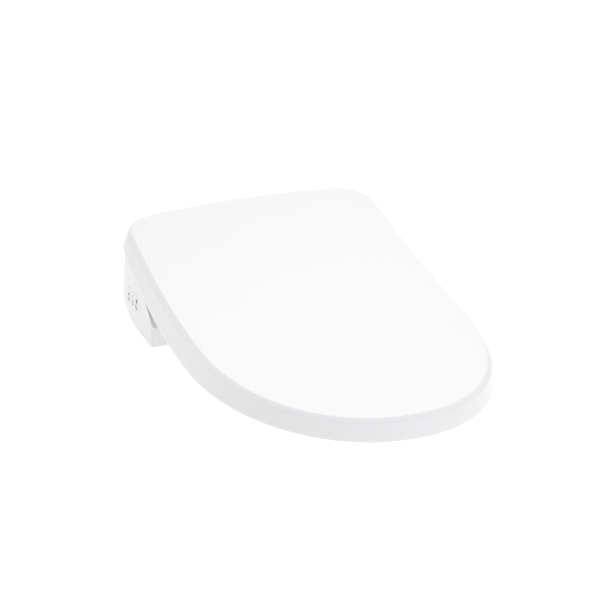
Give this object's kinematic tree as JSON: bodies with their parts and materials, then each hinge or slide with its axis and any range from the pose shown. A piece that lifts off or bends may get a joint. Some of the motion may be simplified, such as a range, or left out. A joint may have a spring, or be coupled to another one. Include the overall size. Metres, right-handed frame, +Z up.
{
  "type": "electric bidet seat",
  "caption": "White electric bidet toilet seat, closed, with soft-close lid and ring, side keys, wash nozzles, warm-air dryer and rear water inlet.",
  "frame": {"origin": "middle point between the two bowl bolts, level with the housing's underside, which rests on the bowl", "axes": "+X to the side with the water inlet and the deodoriser, -Y towards the front of the seat (so +Y towards the wall), +Z up"},
  "size_m": [0.38, 0.514, 0.1233],
  "materials": {
    "gloss_white": "smooth moulded gloss",
    "cap_white": "smooth moulded gloss",
    "grey_plastic": "fine moulded grain",
    "dark_plastic": "fine moulded grain",
    "ivory_plastic": "moulded",
    "board_green": "solder mask",
    "red_lens": "clear tinted lens",
    "clear_lens": "clear lens",
    "steel": "turned and brushed",
    "mesh_steel": "fine wire mesh",
    "rubber": "moulded soft rubber",
    "bronze": "sintered",
    "heater_foil": "foil laminate"
  },
  "bodies": {
    "base": {"base_tray": "gloss_white", "rear_cover": "gloss_white", "control_end_cap": "gloss_white", "plain_end_cap": "gloss_white", "control_panel": "cap_white", "control_board": "board_green", "power_lamp": "red_lens", "mode_lamps": "clear_lens", "main_board": "board_green", "tank_body": "grey_plastic", "tank_cover": "grey_plastic", "heating_element": "steel", "thermal_cutout": "dark_plastic", "inlet_valve": "ivory_plastic", "water_inlet": "grey_plastic", "inlet_strainer": "mesh_steel", "diverter_valve": "ivory_plastic", "cold_water_tube": "grey_plastic", "warm_water_tube": "grey_plastic", "nozzle_holder": "grey_plastic", "nozzle_guard": "cap_white", "rear_drive_motor": "steel", "front_drive_motor": "steel", "blower_housing": "dark_plastic", "blower_cover": "dark_plastic", "blower_motor": "steel", "dryer_duct": "dark_plastic", "seat_damper": "dark_plastic", "lid_damper": "dark_plastic", "cable_gland": "grey_plastic", "casing_screws": "steel", "base_feet": "rubber", "mounting_plate": "grey_plastic", "slot_washers": "steel"},
    "seat": {"seat_top": "gloss_white", "seat_bottom": "gloss_white", "seat_heater": "heater_foil", "seat_bumpers": "rubber", "seat_hinge_shaft": "steel", "seat_bush": "bronze"},
    "lid": {"lid_shell": "gloss_white", "lid_bumpers": "rubber", "lid_hinge_shaft": "steel", "lid_bush": "bronze"},
    "rear_nozzle_slide": {"rear_nozzle": "cap_white", "rear_nozzle_tip": "cap_white"},
    "front_nozzle_slide": {"front_nozzle": "cap_white", "front_nozzle_tip": "cap_white"},
    "rear_pinion_gear": {"rear_pinion": "ivory_plastic"},
    "front_pinion_gear": {"front_pinion": "ivory_plastic"},
    "fan": {"blower_wheel": "ivory_plastic"},
    "flap": {"dryer_flap": "cap_white"},
    "cartridge": {"deodoriser_cartridge": "dark_plastic"},
    "stop": {"stop_key": "cap_white"},
    "rear_wash": {"rear_wash_key": "cap_white"},
    "front_wash": {"front_wash_key": "cap_white"},
    "release": {"release_button": "grey_plastic"}
  },
  "joints": [
    {"name": "seat_hinge", "type": "hinge", "parent": "base", "child": "seat", "pos_m": [0, 0.056, 0.098], "axis": [-1, 0, 0], "range_deg": [0, 95]},
    {"name": "lid_hinge", "type": "hinge", "parent": "seat", "child": "lid", "pos_m": [0, 0.056, 0.098], "axis": [1, 0, 0], "range_deg": [-100, 0]},
    {"name": "rear_nozzle_out", "type": "slide", "parent": "base", "child": "rear_nozzle_slide", "axis": [0, -0.9397, -0.342], "range_m": [0, 0.072]},
    {"name": "front_nozzle_out", "type": "slide", "parent": "base", "child": "front_nozzle_slide", "axis": [0, -0.9397, -0.342], "range_m": [0, 0.072]},
    {"name": "rear_pinion_turn", "type": "hinge", "parent": "base", "child": "rear_pinion_gear", "pos_m": [-0.011, -0.04494, 0.03993], "axis": [-1, 0, 0], "range_deg": [0, 492]},
    {"name": "front_pinion_turn", "type": "hinge", "parent": "base", "child": "front_pinion_gear", "pos_m": [0.011, -0.04494, 0.03993], "axis": [-1, 0, 0], "range_deg": [0, 492]},
    {"name": "fan_spin", "type": "hinge", "parent": "base", "child": "fan", "pos_m": [-0.06, 0.006, 0.039], "axis": [1, 0, 0], "continuous": true},
    {"name": "flap_swing", "type": "hinge", "parent": "base", "child": "flap", "pos_m": [-0.06, -0.05875, 0.027], "axis": [-1, 0, 0], "range_deg": [0, 70]},
    {"name": "cartridge_out", "type": "slide", "parent": "base", "child": "cartridge", "axis": [1, 0, 0], "range_m": [0, 0.06]},
    {"name": "stop_press", "type": "slide", "parent": "base", "child": "stop", "axis": [0.9974, -0.0715, 0], "range_m": [0, 0.0008], "stiffness_N_per_m": 400},
    {"name": "rear_wash_press", "type": "slide", "parent": "base", "child": "rear_wash", "axis": [0.9974, -0.0715, 0], "range_m": [0, 0.0008], "stiffness_N_per_m": 400},
    {"name": "front_wash_press", "type": "slide", "parent": "base", "child": "front_wash", "axis": [0.9974, -0.0715, 0], "range_m": [0, 0.0008], "stiffness_N_per_m": 400},
    {"name": "release_press", "type": "slide", "parent": "base", "child": "release", "axis": [-1, 0, 0], "range_m": [0, 0.003], "stiffness_N_per_m": 500}
  ],
  "couplings": [
    {"joint": "rear_pinion_turn", "follows": "rear_nozzle_out", "rad_per_m": 119.05},
    {"joint": "front_pinion_turn", "follows": "front_nozzle_out", "rad_per_m": 119.05}
  ]
}
